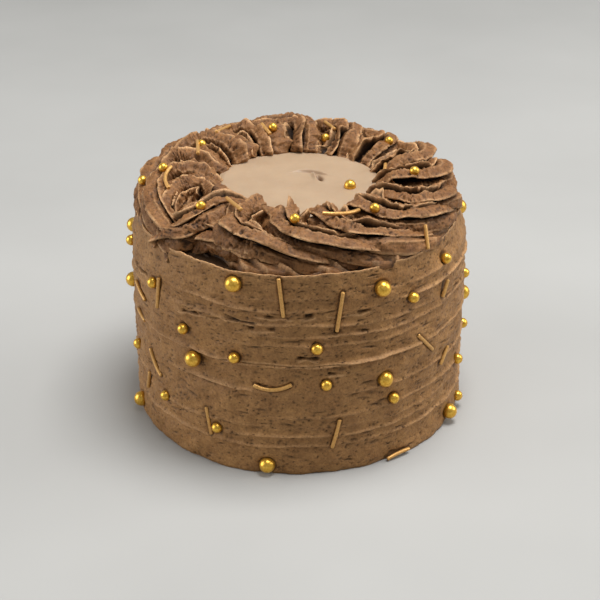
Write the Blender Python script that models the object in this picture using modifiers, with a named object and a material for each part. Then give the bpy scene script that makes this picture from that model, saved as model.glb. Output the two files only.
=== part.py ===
# A small tall layer cake: banded chocolate icing on its side, a piped rope border
# round its top with a rosette where the piping ends, a smooth pale disc of icing
# inside the border, and gold pearls and rods scattered over it.
# Metres, +Z up. The origin is the centre of the underside. -Y is the front.

import math
import random

import bmesh
import bpy
from mathutils import Matrix, Vector
from mathutils.bvhtree import BVHTree

# Driving sizes of the cake
CAKE_RADIUS = 0.080
CAKE_HEIGHT = 0.102
GAP = 0.0003
BELOW = 0.0020
TURN_STEPS = 52
DISC_STEPS = 40

# Side: the heights where two strokes of the comb meet, and how deep they are
SOFT_EDGES = (0.015, 0.0205, 0.025, 0.031, 0.0435, 0.057)
DEEP_EDGES = (0.0735, 0.081)
EDGE_PROUD = 0.0004
BAND_DIP = 0.0006
DEEP_DIP = 0.0010
DEEP_HALF_WIDTH = 0.0010
WIDE_BAND = 0.007
RIM_ROUNDING = 0.0012

# Pale disc inside the border
DISC_RADIUS = 0.0400
DISC_TOP = 0.1122
DISC_EDGE_DROP = 0.0012

# Piped border: a star nozzle swept up from the disc and round to the rim, again and
# again, each stroke lying half over the last and tucked in under the next
STROKE_COUNT = 15
STROKE_STEP = math.radians(23.2)
FIRST_STROKE = math.radians(-144.0)
STROKE_INNER = 0.0420
STROKE_OUTER = 0.0716
STROKE_SWEEP = math.radians(41.0)
STROKE_POINTS = 10
STRAND_RADIUS = 0.0096
STRAND_HEIGHT = 0.1116
START_DROP = 0.0070
START_SHARE = 0.28
OUTER_DROP = 0.0100
TUCK_FROM = 0.74
TUCK_IN = 0.0005
TUCK_DOWN = 0.0040
# how much higher each stroke lies, from the front left round
STROKE_LIFTS = (
    0.0, 0.0008, 0.0012, 0.0010, 0.0006, 0.0004, 0.0, 0.0002, 0.0, 0.0010, 0.0028, 0.0014,
    0.0008, 0.0004, 0.0006,
)
NOZZLE_LIPS = 7
NOZZLE_CREASE = 0.66
STROKE_JITTER = 0.03
TIP_FROM = 0.62
TIP_THICKNESS = 0.8
CORE_OUTER = 0.0789
CORE_INNER = 0.0403
CORE_OUTER_EDGE = 0.1027
CORE_INNER_EDGE = 0.1070
CORE_CROWN = 0.0050
CORE_POINTS = 9

# Swirl that ends the border at the front left: its curl, the tail laid over it, and the
# stroke that comes out from under the tail, as places and a strand radius
SWIRL_POINTS = 9
CURL = ((-0.041, -0.018, 0.103), (-0.0415, -0.011, 0.108), (-0.047, -0.007, 0.1115),
        (-0.057, -0.012, 0.111), (-0.062, -0.025, 0.1085), (-0.060, -0.038, 0.103))
CURL_RADIUS = 0.0085
TAIL = ((-0.062, -0.041, 0.0985), (-0.057, -0.0455, 0.102), (-0.051, -0.046, 0.107),
        (-0.043, -0.0415, 0.1105), (-0.035, -0.035, 0.112), (-0.027, -0.030, 0.110),
        (-0.022, -0.028, 0.107))
TAIL_RADIUS = 0.0086
UNDER_TAIL = ((-0.047, -0.040, 0.097), (-0.042, -0.050, 0.1005), (-0.032, -0.0585, 0.1025),
              (-0.019, -0.0645, 0.1025), (-0.006, -0.067, 0.101), (0.006, -0.065, 0.097))
UNDER_TAIL_RADIUS = 0.0085

# Gold toppings
LARGE_PEARL = 0.0037
SMALL_PEARL = 0.0026
BORDER_PEARL = 0.0024
ROD_RADIUS = 0.0009
ROD_LENGTH = 0.0175
ROD_PROUD = 0.0004
ROD_SLOPE = 0.0060
ROD_HIGHEST = 0.1000
PEARL_SUNK = 0.3
ROD_SUNK = 0.6

# Places on the side: degrees round from the front, height
LARGE_PEARLS = (
    (-20.8, 0.0958), (27.3, 0.0916), (-36.6, 0.0525), (29.0, 0.0453),
    (-10.4, 0.0048), (-88.0, 0.0620), (-96.0, 0.0860), (-74.0, 0.0060),
    (97.0, 0.0950), (92.0, 0.0520), (65.0, 0.0060),
)
SMALL_PEARLS = (
    (-55.9, 0.0814), (39.4, 0.0826), (57.4, 0.0926), (-40.5, 0.0662),
    (-21.0, 0.0590), (5.7, 0.0662), (8.8, 0.0475), (32.6, 0.0338),
    (-50.9, 0.0249), (-27.8, 0.0200), (-88.0, 0.0830), (-74.0, 0.0370),
    (90.0, 0.0640), (85.0, 0.0400), (72.0, 0.0300), (76.0, 0.0060),
)

# Rods on the side: degrees and height of each end, then how far the middle sags
RODS = (
    (-6.2, 0.1005, -4.8, 0.0824, 0.0), (13.8, 0.0930, 12.0, 0.0745, 0.0),
    (-52.0, 0.0857, -53.8, 0.0700, 0.0), (-60.2, 0.0440, -53.4, 0.0340, 0.0012),
    (-62.0, 0.0300, -64.0, 0.0205, 0.0), (-14.4, 0.0464, -2.5, 0.0479, 0.0022),
    (-31.8, 0.0290, -30.2, 0.0157, 0.0), (13.3, 0.0283, 10.9, 0.0143, 0.0008),
    (42.2, 0.0619, 50.0, 0.0503, 0.0), (57.9, 0.0814, 54.9, 0.0747, 0.0),
    (60.2, 0.0454, 55.7, 0.0387, 0.0), (-72.0, 0.0720, -63.0, 0.0680, 0.0),
    (-71.0, 0.0580, -64.0, 0.0565, 0.0), (31.0, 0.0013, 40.0, 0.0022, -0.0006),
)

# Behind, where the scatter follows a rule: degrees from the front
BACK_START = 103.0
BACK_END = 257.0
BACK_HEIGHTS = (0.006, 0.094)
BACK_SPACING = 0.0175
BACK_LARGE = 10
BACK_SMALL = 14
BACK_RODS = 14
SCATTER_SEED = 12
BORDER_SEED = 5

# Toppings on the border: x, y of a pearl; x, y of both ends of a rod, then how far its
# middle bends to the left
BORDER_PEARLS = (
    (-0.0640, 0.0046), (-0.0476, 0.0291), (-0.0129, 0.0475), (0.0132, 0.0463),
    (0.0443, 0.0358), (0.0537, -0.0100), (0.0336, -0.0485), (-0.0017, -0.0630),
    (-0.0438, -0.0415), (-0.0738, -0.0009),
)
BORDER_RODS = (
    (-0.0496, 0.0307, -0.0483, 0.0142, 0.0), (-0.0597, -0.0047, -0.0598, -0.0200, -0.0022),
    (-0.0350, 0.0545, -0.0407, 0.0379, 0.0), (-0.0185, 0.0478, -0.0143, 0.0388, 0.0),
    (0.0132, 0.0608, 0.0178, 0.0510, 0.0), (-0.0322, -0.0390, -0.0253, -0.0555, 0.0),
    (0.0105, -0.0577, 0.0265, -0.0489, -0.0024), (0.0415, 0.0123, 0.0410, 0.0073, 0.0),
    (0.0569, -0.0512, 0.0574, -0.0536, 0.0),
)
DISC_PEARL = (0.024, -0.007)
DISC_PEARL_RISE = 0.0010

COLOURS = {
    "cake_body": (0.205, 0.112, 0.062),
    "piped_border": (0.225, 0.125, 0.072),
    "centre_icing": (0.645, 0.465, 0.345),
}


def clear_scene():
    for obj in list(bpy.data.objects):
        bpy.data.objects.remove(obj, do_unlink=True)


def new_collection(name):
    group = bpy.data.collections.new(name)
    bpy.context.scene.collection.children.link(group)
    return group


def icing_material(name):
    material = bpy.data.materials.new(name)
    material.use_nodes = True
    shader = material.node_tree.nodes["Principled BSDF"]
    shader.inputs["Base Color"].default_value = (*COLOURS[name], 1.0)
    shader.inputs["Roughness"].default_value = 0.55
    shader.inputs["Metallic"].default_value = 0.0
    return material


def mesh_object(name, bm, group):
    bmesh.ops.recalc_face_normals(bm, faces=bm.faces[:])
    mesh = bpy.data.meshes.new(name)
    bm.to_mesh(mesh)
    bm.free()
    obj = bpy.data.objects.new(name, mesh)
    group.objects.link(obj)
    return obj


def turned(name, profile, group, steps=TURN_STEPS):
    """A profile of (radius, height) points, from the top down, turned round Z."""
    mesh = bpy.data.meshes.new(name)
    edges = [(i, i + 1) for i in range(len(profile) - 1)]
    mesh.from_pydata([(radius, 0.0, height) for radius, height in profile], edges, [])
    obj = bpy.data.objects.new(name, mesh)
    group.objects.link(obj)
    screw = obj.modifiers.new("turn", "SCREW")
    screw.steps = steps
    screw.render_steps = steps
    screw.use_merge_vertices = True
    screw.merge_threshold = 0.00002
    return obj


def evaluated_mesh(obj):
    bpy.context.view_layer.update()
    graph = bpy.context.evaluated_depsgraph_get()
    return bpy.data.meshes.new_from_object(obj.evaluated_get(graph), depsgraph=graph)


def apply_modifiers(obj):
    mesh = evaluated_mesh(obj)
    obj.modifiers.clear()
    obj.data = mesh


def mesh_from_curve(obj, group):
    """The curve's mesh with its caps welded, as a new object in its place."""
    mesh = evaluated_mesh(obj)
    bm = bmesh.new()
    bm.from_mesh(mesh)
    bmesh.ops.remove_doubles(bm, verts=bm.verts[:], dist=0.00001)
    bmesh.ops.triangulate(bm, faces=bm.faces[:])
    solid = mesh_object(obj.name + "_solid", bm, group)
    solid.matrix_world = obj.matrix_world
    bpy.data.objects.remove(obj, do_unlink=True)
    return solid


def boolean(obj, kind, operand):
    cut = obj.modifiers.new(kind.lower(), "BOOLEAN")
    cut.operation = kind
    cut.solver = "EXACT"
    if isinstance(operand, bpy.types.Collection):
        cut.operand_type = "COLLECTION"
        cut.collection = operand
    else:
        cut.object = operand


def fuse(obj, group):
    """One union with everything in the collection, which is then emptied."""
    boolean(obj, "UNION", group)
    apply_modifiers(obj)
    for piece in list(group.objects):
        bpy.data.objects.remove(piece, do_unlink=True)
    bpy.data.collections.remove(group)


def keep_largest_body(obj):
    """Drops loose scraps and fills sealed hollows: only the largest shell stays."""
    bm = bmesh.new()
    bm.from_mesh(obj.data)
    bmesh.ops.dissolve_degenerate(bm, dist=0.000002, edges=bm.edges[:])
    bmesh.ops.triangulate(bm, faces=bm.faces[:])
    shells = []
    seen = set()
    for face in bm.faces:
        if face in seen:
            continue
        shell = []
        queue = [face]
        seen.add(face)
        while queue:
            current = queue.pop()
            shell.append(current)
            for edge in current.edges:
                for other in edge.link_faces:
                    if other not in seen:
                        seen.add(other)
                        queue.append(other)
        shells.append(shell)
    shells.sort(key=len)
    for shell in shells[:-1]:
        bmesh.ops.delete(bm, geom=shell, context="FACES")
    bm.to_mesh(obj.data)
    bm.free()


def side_profile():
    """From the top centre down the side to the bottom centre."""
    side = [(CAKE_RADIUS - RIM_ROUNDING, CAKE_HEIGHT),
            (CAKE_RADIUS, CAKE_HEIGHT - RIM_ROUNDING)]
    edges = sorted(SOFT_EDGES + DEEP_EDGES + (0.0,), reverse=True)
    above = CAKE_HEIGHT - RIM_ROUNDING
    for edge in edges:
        if above - edge > WIDE_BAND:
            side.append((CAKE_RADIUS - BAND_DIP, (above + edge) / 2))
        if edge in DEEP_EDGES:
            side.append((CAKE_RADIUS + EDGE_PROUD, edge + DEEP_HALF_WIDTH))
            side.append((CAKE_RADIUS - DEEP_DIP, edge))
            side.append((CAKE_RADIUS + EDGE_PROUD, edge - DEEP_HALF_WIDTH))
        elif edge in SOFT_EDGES:
            side.append((CAKE_RADIUS + EDGE_PROUD, edge))
        above = edge
    side.append((CAKE_RADIUS - EDGE_PROUD, 0.0))
    return [(0.0, CAKE_HEIGHT)] + side + [(0.0, 0.0)]


def on_side(degrees, height, radius):
    angle = math.radians(degrees - 90.0)
    return Vector((radius * math.cos(angle), radius * math.sin(angle), height))


def add_pearl(bm, centre, outward, radius):
    large = radius > (LARGE_PEARL + SMALL_PEARL) / 2
    turn = Vector((0.0, 0.0, 1.0)).rotation_difference(outward).to_matrix().to_4x4()
    bmesh.ops.create_uvsphere(
        bm,
        u_segments=8 if large else 6,
        v_segments=5 if large else 4,
        radius=radius,
        matrix=Matrix.Translation(centre) @ turn,
    )


def add_rods(name, lines, group):
    """Six-sided rods with flat ends, each along its own short line of points."""
    curve = bpy.data.curves.new(name, "CURVE")
    curve.dimensions = "3D"
    curve.bevel_depth = ROD_RADIUS
    curve.bevel_resolution = 1
    curve.use_fill_caps = True
    for line in lines:
        spline = curve.splines.new("POLY")
        spline.points.add(len(line) - 1)
        for point, place in zip(spline.points, line):
            point.co = (*place, 1.0)
    obj = bpy.data.objects.new(name, curve)
    group.objects.link(obj)
    return mesh_from_curve(obj, group)


def rod_on_side(start, start_height, end, end_height, sag):
    """A rod that follows the side's curve and sags by a parabola in its middle."""
    steps = 4 if abs(end - start) > 5.0 or sag else 1
    line = []
    for i in range(steps + 1):
        t = i / steps
        height = start_height + (end_height - start_height) * t - 4 * sag * t * (1 - t)
        line.append(on_side(start + (end - start) * t, height, CAKE_RADIUS + ROD_PROUD))
    return line


def apart(place, taken, distance):
    spread = CAKE_RADIUS * math.radians(1.0)
    for degrees, height in taken:
        across = (place[0] - degrees) * spread
        if math.hypot(across, place[1] - height) < distance:
            return False
    return True


def scatter_behind():
    """Pearls and rods behind, drawn one by one and kept a little apart."""
    draw = random.Random(SCATTER_SEED)
    taken = []
    kinds = {"large": BACK_LARGE, "small": BACK_SMALL, "rods": BACK_RODS}
    chosen = {"large": [], "small": [], "rods": []}
    for kind, count in kinds.items():
        while len(chosen[kind]) < count:
            place = (draw.uniform(BACK_START, BACK_END), draw.uniform(*BACK_HEIGHTS))
            if not apart(place, taken, BACK_SPACING):
                continue
            taken.append(place)
            chosen[kind].append(place)
    rods = []
    for degrees, height in chosen["rods"]:
        lean = draw.uniform(-1.0, 1.0)
        length = ROD_LENGTH * draw.uniform(0.65, 1.0)
        half_turn = math.degrees(length / 2 * math.sin(lean) / CAKE_RADIUS)
        half_drop = min(length / 2 * math.cos(lean), height - ROD_RADIUS)
        sag = 0.0012 if abs(lean) > 0.7 else 0.0
        rods.append((degrees - half_turn, min(height + half_drop, ROD_HIGHEST),
                     degrees + half_turn, height - half_drop, sag))
    return chosen["large"], chosen["small"], rods


def cake_body(parts):
    body = turned("cake_body", side_profile(), parts)
    group = new_collection("side_toppings")
    back_large, back_small, back_rods = scatter_behind()
    bm = bmesh.new()
    for places, radius in ((LARGE_PEARLS + tuple(back_large), LARGE_PEARL),
                           (SMALL_PEARLS + tuple(back_small), SMALL_PEARL)):
        for degrees, height in places:
            centre = on_side(degrees, height, CAKE_RADIUS)
            outward = Vector((centre.x, centre.y, 0.0)).normalized()
            add_pearl(bm, centre, outward, radius)
    mesh_object("side_pearls", bm, group)
    add_rods("side_rods", [rod_on_side(*rod) for rod in RODS + tuple(back_rods)], group)
    fuse(body, group)
    keep_largest_body(body)
    return body


def centre_icing(parts):
    base = CAKE_HEIGHT + GAP
    profile = [(0.0, DISC_TOP), (DISC_RADIUS * 0.8, DISC_TOP - DISC_EDGE_DROP / 4),
               (DISC_RADIUS - DISC_EDGE_DROP, DISC_TOP - DISC_EDGE_DROP / 2),
               (DISC_RADIUS, DISC_TOP - 1.5 * DISC_EDGE_DROP),
               (DISC_RADIUS, base), (0.0, base)]
    disc = turned("centre_icing", profile, parts, steps=DISC_STEPS)
    group = new_collection("disc_toppings")
    bm = bmesh.new()
    add_pearl(bm, Vector((*DISC_PEARL, DISC_TOP + DISC_PEARL_RISE)), Vector((0.0, 0.0, 1.0)),
              SMALL_PEARL)
    mesh_object("disc_pearl", bm, group)
    fuse(disc, group)
    keep_largest_body(disc)
    return disc


def nozzle(group):
    """The star that the icing comes through: lips and creases by turns."""
    curve = bpy.data.curves.new("nozzle", "CURVE")
    curve.dimensions = "2D"
    spline = curve.splines.new("POLY")
    count = 2 * NOZZLE_LIPS
    spline.points.add(count - 1)
    for i, point in enumerate(spline.points):
        radius = 1.0 if i % 2 == 0 else NOZZLE_CREASE
        angle = math.tau * i / count
        point.co = (radius * math.cos(angle), radius * math.sin(angle), 0.0, 1.0)
    spline.use_cyclic_u = True
    obj = bpy.data.objects.new("nozzle", curve)
    obj.hide_render = True
    obj.display_type = "WIRE"
    group.objects.link(obj)
    return obj


def piped_strand(name, places, radii, star, group):
    """Icing pressed through the star along the places, thick where radii say."""
    curve = bpy.data.curves.new(name, "CURVE")
    curve.dimensions = "3D"
    curve.bevel_mode = "OBJECT"
    curve.bevel_object = star
    curve.use_fill_caps = True
    curve.twist_mode = "Z_UP"
    spline = curve.splines.new("POLY")
    spline.points.add(len(places) - 1)
    for point, place, radius in zip(spline.points, places, radii):
        point.co = (*place, 1.0)
        point.radius = radius
    obj = bpy.data.objects.new(name, curve)
    group.objects.link(obj)
    return mesh_from_curve(obj, group)


def eased(low, high, value):
    t = min(1.0, max(0.0, (value - low) / (high - low)))
    return t * t * (3 - 2 * t)


def stroke_places(azimuth, height, sweep):
    """Up from the disc, outward, then bending round to run along the rim."""
    places = []
    for i in range(STROKE_POINTS):
        t = i / (STROKE_POINTS - 1)
        angle = math.pi / 2 * t
        tucked = eased(TUCK_FROM, 1.0, t)
        radius = STROKE_INNER + (STROKE_OUTER - STROKE_INNER) * math.sin(angle) ** 0.85
        radius -= TUCK_IN * tucked
        around = azimuth + sweep * (1 - math.cos(angle)) ** 1.6
        place = Vector((radius * math.cos(around), radius * math.sin(around), height))
        place.z -= OUTER_DROP * (1 - math.cos(angle)) ** 2
        place.z -= START_DROP * max(0.0, 1 - t / START_SHARE) ** 2
        place.z -= TUCK_DOWN * tucked
        places.append(place)
    return places


def through(points):
    """Places along a smooth curve through the points."""
    points = [Vector(point) for point in points]
    last = len(points) - 1
    slopes = [(points[min(i + 1, last)] - points[max(i - 1, 0)])
              / (min(i + 1, last) - max(i - 1, 0)) for i in range(last + 1)]
    places = []
    for step in range(SWIRL_POINTS):
        s = last * step / (SWIRL_POINTS - 1)
        i = min(int(s), last - 1)
        u = s - i
        place = points[i] * (2 * u ** 3 - 3 * u ** 2 + 1)
        place += slopes[i] * (u ** 3 - 2 * u ** 2 + u)
        place += points[i + 1] * (3 * u ** 2 - 2 * u ** 3)
        place += slopes[i + 1] * (u ** 3 - u ** 2)
        places.append(place)
    return places


def tapered(count, radius):
    """Full where it starts, drawn out thinner at its end."""
    radii = []
    for i in range(count):
        drawn = eased(TIP_FROM, 1.0, i / (count - 1))
        radii.append(radius * (1 - (1 - TIP_THICKNESS) * drawn))
    return radii


def strokes(star, group):
    draw = random.Random(BORDER_SEED)
    for i in range(STROKE_COUNT):
        azimuth = FIRST_STROKE + STROKE_STEP * i
        azimuth += draw.uniform(-STROKE_JITTER, STROKE_JITTER)
        height = STRAND_HEIGHT + STROKE_LIFTS[i] + draw.uniform(-0.0004, 0.0004)
        sweep = STROKE_SWEEP * draw.uniform(0.93, 1.07)
        radius = STRAND_RADIUS * draw.uniform(0.97, 1.03)
        if i == 0:
            continue  # this one comes out from under the tail
        places = stroke_places(azimuth, height, sweep)
        radii = tapered(STROKE_POINTS, radius)
        piped_strand(f"stroke_{i:02d}", places, radii, star, group)


def swirl(star, group):
    for name, points, radius in (("curl", CURL, CURL_RADIUS), ("tail", TAIL, TAIL_RADIUS),
                                 ("under_tail", UNDER_TAIL, UNDER_TAIL_RADIUS)):
        radii = tapered(SWIRL_POINTS, radius)
        piped_strand(name, through(points), radii, star, group)


def border_core(parts):
    """The icing under the strokes: a crowned ring on the cake, round the pale disc."""
    base = CAKE_HEIGHT - BELOW
    profile = [(CORE_INNER, base)]
    for i in range(CORE_POINTS):
        across = (1 - math.cos(math.pi * i / (CORE_POINTS - 1))) / 2
        radius = CORE_INNER + (CORE_OUTER - CORE_INNER) * across
        height = CORE_INNER_EDGE + (CORE_OUTER_EDGE - CORE_INNER_EDGE) * across
        height += CORE_CROWN * math.sin(math.pi * across)
        profile.append((radius, height))
    profile.append((CORE_OUTER, base))
    profile.append((CORE_INNER, base))
    return turned("piped_border", profile, parts)


def cylinder(name, radius, low, high, group):
    bm = bmesh.new()
    bmesh.ops.create_cone(bm, cap_ends=True, segments=TURN_STEPS, radius1=radius,
                          radius2=radius, depth=high - low,
                          matrix=Matrix.Translation((0.0, 0.0, (low + high) / 2)))
    obj = mesh_object(name, bm, group)
    obj.hide_render = True
    obj.display_type = "WIRE"
    return obj


def surface_height(tree, x, y):
    hit = tree.ray_cast(Vector((x, y, 2 * CAKE_HEIGHT)), Vector((0.0, 0.0, -1.0)))
    height = hit[0].z if hit[0] else 0.0
    if math.hypot(x, y) < DISC_RADIUS + 2 * SMALL_PEARL:
        height = max(height, DISC_TOP + SMALL_PEARL)
    return height


def laid_rod(tree, x0, y0, x1, y1, bend):
    """A rod on the crests: it follows the slope and rests where it is highest."""
    ways = [i / 6 for i in range(7)]
    heights = [surface_height(tree, x0 + (x1 - x0) * t, y0 + (y1 - y0) * t) for t in ways]
    slope = (sum(heights[4:]) - sum(heights[:3])) / 4
    slope = max(-ROD_SLOPE, min(ROD_SLOPE, slope))
    start = max(height - slope * t for height, t in zip(heights, ways))
    start -= ROD_RADIUS * ROD_SUNK
    length = math.hypot(x1 - x0, y1 - y0)
    aside = Vector((y0 - y1, x1 - x0, 0.0)) * (4 * bend / length)
    places = []
    for t in ways[::2] if bend else (0.0, 1.0):
        place = Vector((x0 + (x1 - x0) * t, y0 + (y1 - y0) * t, start + slope * t))
        places.append(place + aside * (t * (1 - t)))
    return places


def border_toppings(border, group):
    bm = bmesh.new()
    bm.from_mesh(border.data)
    tree = BVHTree.FromBMesh(bm)
    bm.free()
    pearls = bmesh.new()
    for x, y in BORDER_PEARLS:
        height = surface_height(tree, x, y) + PEARL_SUNK * BORDER_PEARL
        add_pearl(pearls, Vector((x, y, height)), Vector((0.0, 0.0, 1.0)), BORDER_PEARL)
    mesh_object("border_pearls", pearls, group)
    add_rods("border_rods", [laid_rod(tree, *ends) for ends in BORDER_RODS], group)


def piped_border(parts, cutters):
    border = border_core(parts)
    group = new_collection("piping")
    star = nozzle(cutters)
    strokes(star, group)
    swirl(star, group)
    fuse(border, group)
    under = cylinder("under_border", 2 * CAKE_RADIUS, 0.0, CAKE_HEIGHT + GAP, cutters)
    room = cylinder("disc_room", DISC_RADIUS + GAP, 0.0, DISC_TOP + GAP, cutters)
    boolean(border, "DIFFERENCE", under)
    boolean(border, "DIFFERENCE", room)
    apply_modifiers(border)
    keep_largest_body(border)
    group = new_collection("border_toppings")
    border_toppings(border, group)
    fuse(border, group)
    keep_largest_body(border)
    return border


def main():
    clear_scene()
    parts = new_collection("layer_cake")
    cutters = new_collection("cutters")
    for node in (cake_body(parts), centre_icing(parts), piped_border(parts, cutters)):
        node.data.materials.clear()
        node.data.materials.append(icing_material(node.name))
        node.data.shade_smooth()
        node.data.set_sharp_from_angle(angle=math.radians(35.0))


main()
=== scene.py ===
# Layer cake with a piped swirl border and gold sprinkles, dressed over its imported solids.
# Metres, +Z up, -Y towards the camera.
import math
import random

import bpy
import numpy as np
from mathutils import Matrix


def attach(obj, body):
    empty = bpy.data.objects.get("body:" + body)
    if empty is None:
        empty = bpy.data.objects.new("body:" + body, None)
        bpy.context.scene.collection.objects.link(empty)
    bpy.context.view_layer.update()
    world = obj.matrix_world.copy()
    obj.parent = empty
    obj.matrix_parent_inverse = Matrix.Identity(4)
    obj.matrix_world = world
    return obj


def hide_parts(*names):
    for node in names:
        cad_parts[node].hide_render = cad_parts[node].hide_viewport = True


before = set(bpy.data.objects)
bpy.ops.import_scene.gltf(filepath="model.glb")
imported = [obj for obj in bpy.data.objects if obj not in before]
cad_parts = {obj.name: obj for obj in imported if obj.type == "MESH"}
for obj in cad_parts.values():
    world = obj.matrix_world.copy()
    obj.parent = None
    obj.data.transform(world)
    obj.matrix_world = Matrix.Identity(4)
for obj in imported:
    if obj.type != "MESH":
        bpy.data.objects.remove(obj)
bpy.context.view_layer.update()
mm = 0.001
print("frame loaded")


# Small helpers

def hexToLinear(hexText):
    # an sRGB hex value turned to linear light, with alpha 1
    steps = np.array([int(hexText[i:i + 2], 16) for i in (1, 3, 5)]) / 255
    linear = np.where(steps <= 0.04045, steps / 12.92, ((steps + 0.055) / 1.055) ** 2.4)
    return (*linear.tolist(), 1.0)


def addNode(tree, kind, settings, links):
    # one shader node: settings are its properties or input values, links feed its inputs
    node = tree.nodes.new(kind)
    for name, value in settings.items():
        if isinstance(name, str) and hasattr(node, name):
            setattr(node, name, value)
        else:
            node.inputs[name].default_value = value
    for name, socket in links.items():
        tree.links.new(socket, node.inputs[name])
    return node


def setRamp(ramp, stops):
    # stops are (place, colour); a ramp starts with two
    elements = ramp.color_ramp.elements
    while len(elements) < len(stops):
        elements.new(0.5)
    for element, (place, colour) in zip(elements, stops):
        element.position = place
        element.color = colour


def softNoise(across, up, cells, seed):
    # random heights from -1 to 1 on a lattice, eased between corners; across wraps round at 1
    cellsAcross, cellsUp = cells
    lattice = np.random.default_rng(seed).uniform(-1, 1, (cellsUp + 2, cellsAcross))
    x = (across % 1.0) * cellsAcross
    y = np.clip(up, 0, 1) * cellsUp
    column, row = np.floor(x).astype(int), np.floor(y).astype(int)
    x, y = x - column, y - row
    x, y = x * x * (3 - 2 * x), y * y * (3 - 2 * y)
    left, right = column % cellsAcross, (column + 1) % cellsAcross
    low = lattice[row, left] * (1 - x) + lattice[row, right] * x
    high = lattice[row + 1, left] * (1 - x) + lattice[row + 1, right] * x
    return low * (1 - y) + high * y


def roughNoise(across, up, cells, seed, octaves=4, keep=0.5):
    # soft noise summed over octaves, each twice as fine and weaker by the share it keeps
    total = 0.0
    for octave in range(octaves):
        finer = (cells[0] * 2 ** octave, cells[1] * 2 ** octave)
        total = total + softNoise(across, up, finer, seed + octave) * keep ** octave
    return total


def easeStep(low, high, value):
    # from 0 at low to 1 at high, eased at both
    t = np.clip((value - low) / (high - low), 0, 1)
    return t * t * (3 - 2 * t)


def bell(value, middle, width):
    # 1 at the middle, falling off evenly to both sides
    return np.exp(-((value - middle) / width) ** 2)


def addObject(name, data):
    thing = bpy.data.objects.new(name, data)
    bpy.context.scene.collection.objects.link(thing)
    return thing


def gridFaces(rows, columns, start=0, ring=False):
    # quads of a grid whose columns wrap round, and a fan at each end on two poles numbered
    # after its points; in a ring the rows wrap round as well
    order = np.arange(rows * columns).reshape(rows, columns) + start
    beside = np.roll(order, -1, axis=1)
    if ring:
        above, aboveBeside = np.roll(order, -1, axis=0), np.roll(beside, -1, axis=0)
        quads = np.stack([order, beside, aboveBeside, above], -1).reshape(-1, 4)
        return quads, np.empty((0, 3), int)
    quads = np.stack([order[:-1], beside[:-1], beside[1:], order[1:]], -1).reshape(-1, 4)
    pole = np.full(columns, start + rows * columns)
    first = np.stack([beside[0], order[0], pole], -1)
    last = np.stack([order[-1], beside[-1], pole + 1], -1)
    return quads, np.vstack([first, last])


def makeMesh(name, points, quads, fans, material):
    mesh = bpy.data.meshes.new(name)
    corners = np.concatenate([quads.ravel(), fans.ravel()]).astype(np.int32)
    sizes = np.concatenate([np.full(len(quads), 4), np.full(len(fans), 3)])
    starts = np.concatenate([[0], np.cumsum(sizes)[:-1]]).astype(np.int32)
    mesh.vertices.add(len(points))
    mesh.vertices.foreach_set("co", points.astype(np.float32).ravel())
    mesh.loops.add(len(corners))
    mesh.loops.foreach_set("vertex_index", corners)
    mesh.polygons.add(len(sizes))
    mesh.polygons.foreach_set("loop_start", starts)
    mesh.update(calc_edges=True)
    mesh.validate()
    mesh.shade_smooth()
    mesh.materials.append(material)
    return mesh


def buildPiece(name, rings, poles, material, values):
    # a grid surface: rings (rows, columns, 3) joined by quads and closed on two poles, or
    # on themselves where there are none; values are (rows, columns) point attributes
    quads, fans = gridFaces(*rings.shape[:2], ring=poles is None)
    points = rings.reshape(-1, 3)
    if poles is not None:
        points = np.vstack([points, np.array(poles)])
    triangles = np.vstack([quads[:, [0, 1, 2]], quads[:, [0, 2, 3]], fans])
    a, b, c = (points[triangles[:, i]] for i in range(3))
    if np.einsum("ij,ij->i", a, np.cross(b, c)).sum() < 0:  # inside out, so turned round
        quads, fans = quads[:, ::-1], fans[:, ::-1]
    mesh = makeMesh(name, points, quads, fans, material)
    for label, grid in values.items():
        flat = grid.ravel()
        if poles is not None:
            flat = np.concatenate([flat, [grid[0].mean(), grid[-1].mean()]])
        layer = mesh.attributes.new(label, "FLOAT", "POINT")
        layer.data.foreach_set("value", flat.astype(np.float32))
    return addObject(name, mesh)


def dress(piece, node):
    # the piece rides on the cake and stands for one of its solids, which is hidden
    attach(piece, "root")
    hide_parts(node)
    return piece


# Camera, floor and light

studio = {
    "distance": 0.739, "elevation": 27.43, "lookHeight": 0.049, "sideways": 0.00052,
    "lens": 90.0, "floorSize": 8.0, "floorDark": "#a4a3a0", "floorLight": "#aaa9a6",
    "worldColour": "#e9ebea", "worldStrength": 0.41,
    # place, size and power of each soft light
    "lights": {
        "overhead": ((0.22, 0.0, 1.3), 0.6, 19.6),
        "leftWindow": ((-1.3, -0.1, 0.45), 0.9, 9.0),
        "rightWindow": ((1.25, 0.1, 0.75), 0.9, 9.0)},
}


def addCamera():
    cameraData = bpy.data.cameras.new("camera")
    cameraData.lens = studio["lens"]
    cameraData.sensor_width = 36.0
    cameraData.clip_start = 0.01
    camera = addObject("camera", cameraData)
    tilt = math.radians(studio["elevation"])
    camera.location = (studio["sideways"], -studio["distance"] * math.cos(tilt),
                       studio["lookHeight"] + studio["distance"] * math.sin(tilt))
    camera.rotation_euler = (math.pi / 2 - tilt, 0, 0)
    bpy.context.scene.camera = camera


def addAreaLight(name, place, size, power):
    lightData = bpy.data.lights.new(name, "AREA")
    lightData.size = size
    lightData.energy = power
    light = addObject(name, lightData)
    light.location = place
    aim = np.array([0.0, 0.0, 0.06]) - np.array(place)
    flat = math.hypot(aim[0], aim[1])
    light.rotation_euler = (math.pi / 2 + math.atan2(aim[2], flat), 0,
                            math.atan2(aim[1], aim[0]) - math.pi / 2)


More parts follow.
